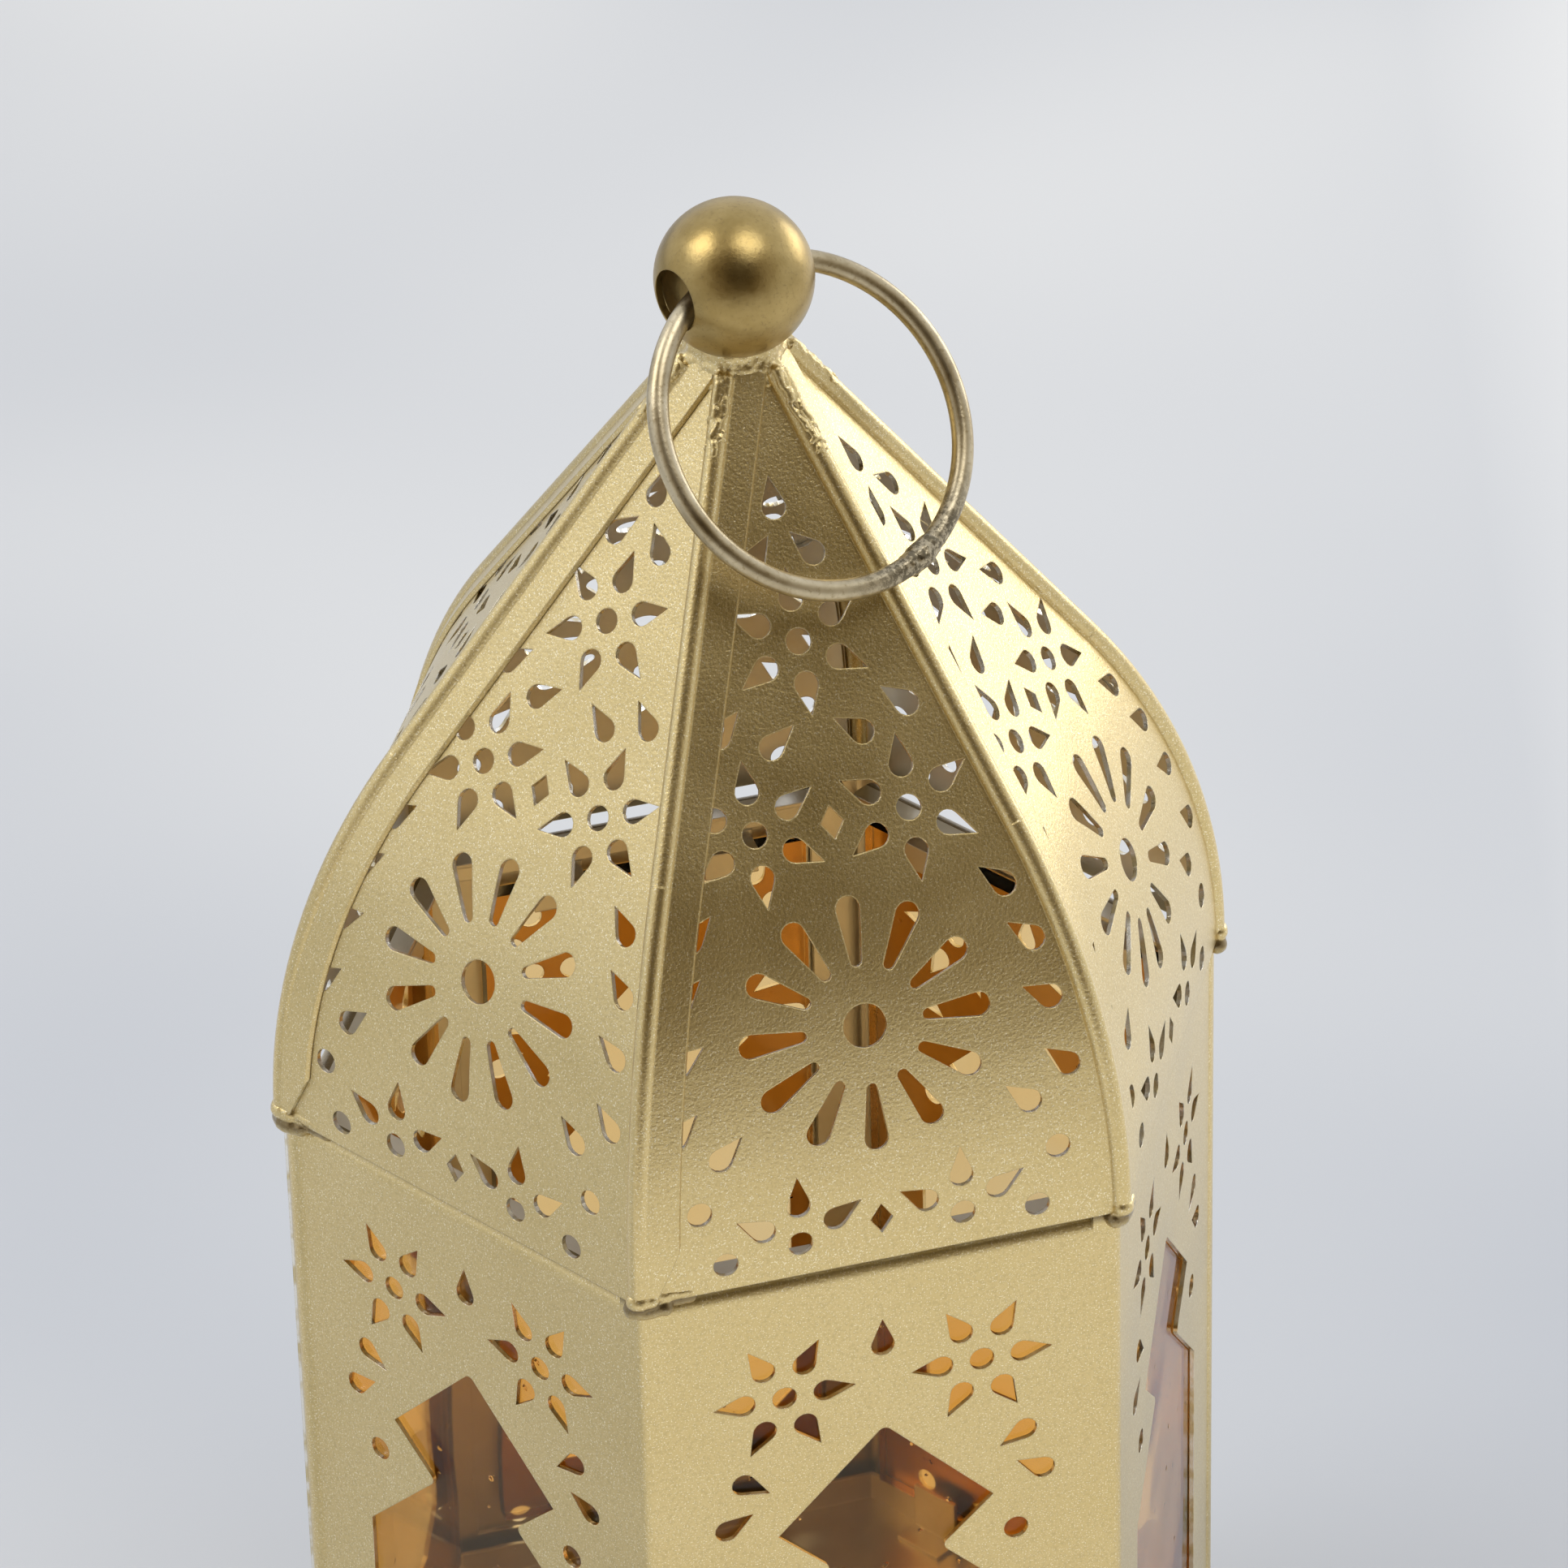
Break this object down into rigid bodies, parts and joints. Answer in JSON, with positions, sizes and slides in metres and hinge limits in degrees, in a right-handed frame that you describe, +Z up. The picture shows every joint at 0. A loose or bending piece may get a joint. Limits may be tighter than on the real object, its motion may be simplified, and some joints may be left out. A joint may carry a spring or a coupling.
{
  "type": "candle lantern",
  "caption": "Hexagonal candle lantern of pierced gold-painted sheet metal, with a bowed pointed roof, ball finial, carrying ring, amber glass panes and a hinged rear door.",
  "frame": {"origin": "middle of the base's foot, on the surface the lantern stands on", "axes": "+Z up through the ball finial; front pane faces -Y; the door is at +Y; two corners lie on the X axis"},
  "size_m": [0.1146, 0.1012, 0.2071],
  "materials": {
    "gold_paint": "satin pale gold paint with a fine orange peel",
    "antique_brass": "satin, darkened with age",
    "plain_brass": "satin",
    "amber_glass": "clear amber with small bubbles",
    "tin_plate": "tinned, dull",
    "spring_steel": "satin"
  },
  "bodies": {
    "lantern": {"ball_finial": "antique_brass", "finial_rivet": "antique_brass", "roof_panel_1": "gold_paint", "roof_panel_2": "gold_paint", "roof_panel_3": "gold_paint", "roof_panel_4": "gold_paint", "roof_panel_5": "gold_paint", "roof_panel_6": "gold_paint", "front_shell": "gold_paint", "rear_shell": "gold_paint", "glass_front": "amber_glass", "glass_front_right": "amber_glass", "glass_rear_right": "amber_glass", "glass_rear_left": "amber_glass", "glass_front_left": "amber_glass", "glass_tabs": "tin_plate", "hinge_straps": "gold_paint", "hinge_pins": "plain_brass", "base_skirt": "gold_paint", "floor_plate": "tin_plate", "candle_cup": "tin_plate", "cup_rivets": "tin_plate"},
    "ring": {"hanging_ring": "antique_brass"},
    "door": {"door_panel": "gold_paint", "door_glass": "amber_glass", "door_glass_tabs": "tin_plate", "door_knob": "plain_brass", "knob_washer": "plain_brass", "door_catch": "spring_steel"}
  },
  "joints": [
    {"name": "ring_swing", "type": "hinge", "parent": "lantern", "child": "ring", "pos_m": [0, 0, 0.19907], "axis": [-0.9361, -0.3518, 0], "range_deg": [0, 279]},
    {"name": "door_hinge", "type": "hinge", "parent": "lantern", "child": "door", "pos_m": [0.02185, 0.04516, 0.0609], "axis": [0, 0, -1], "range_deg": [0, 110]}
  ]
}
